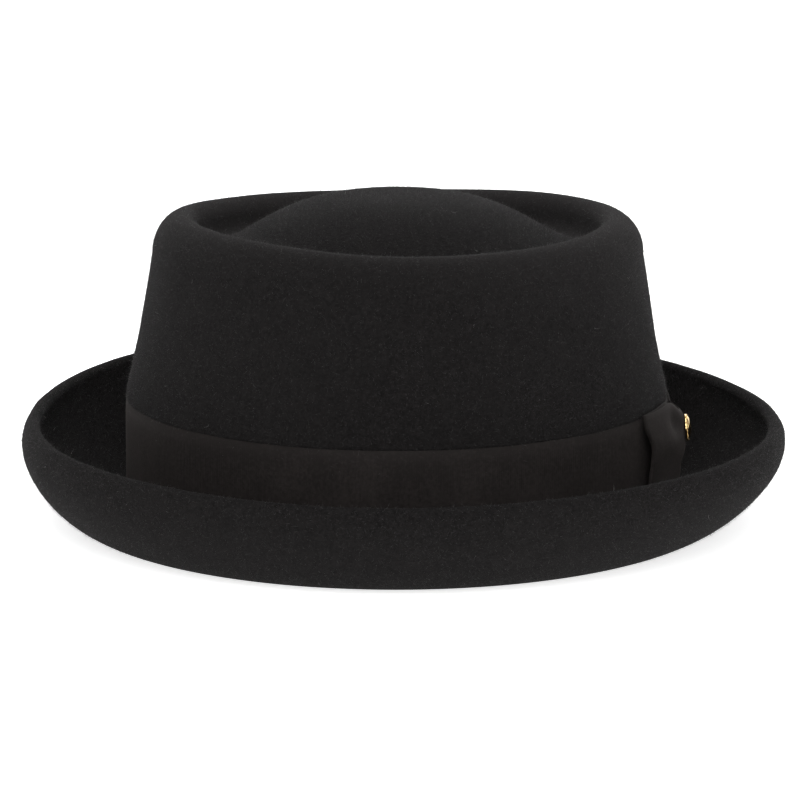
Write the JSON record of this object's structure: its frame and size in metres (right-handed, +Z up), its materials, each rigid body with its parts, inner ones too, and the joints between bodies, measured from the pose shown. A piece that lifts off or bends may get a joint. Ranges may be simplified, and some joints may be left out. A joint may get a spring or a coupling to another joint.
{
  "type": "porkpie hat",
  "caption": "Black felt porkpie hat: low crown with a rolled rim and raised oval dome, brim turned up all round, ribbon band with a side bow and a small domed pin.",
  "frame": {"origin": "middle of the hat's overall length and width, on the surface it rests on", "axes": "+X to the wearer's left, where the bow is; -Y to the front; +Z up out of the crown"},
  "size_m": [0.2436, 0.268, 0.1045],
  "materials": {
    "felt": "brushed black wool felt, matt with a soft nap",
    "ribbon": "black grosgrain ribbon, matt with fine upright ribs",
    "pin_metal": "polished gold plate"
  },
  "bodies": {
    "root": {"felt_body": "felt", "hat_band": "ribbon", "bow_loop": "ribbon", "pin": "pin_metal"}
  },
  "joints": []
}
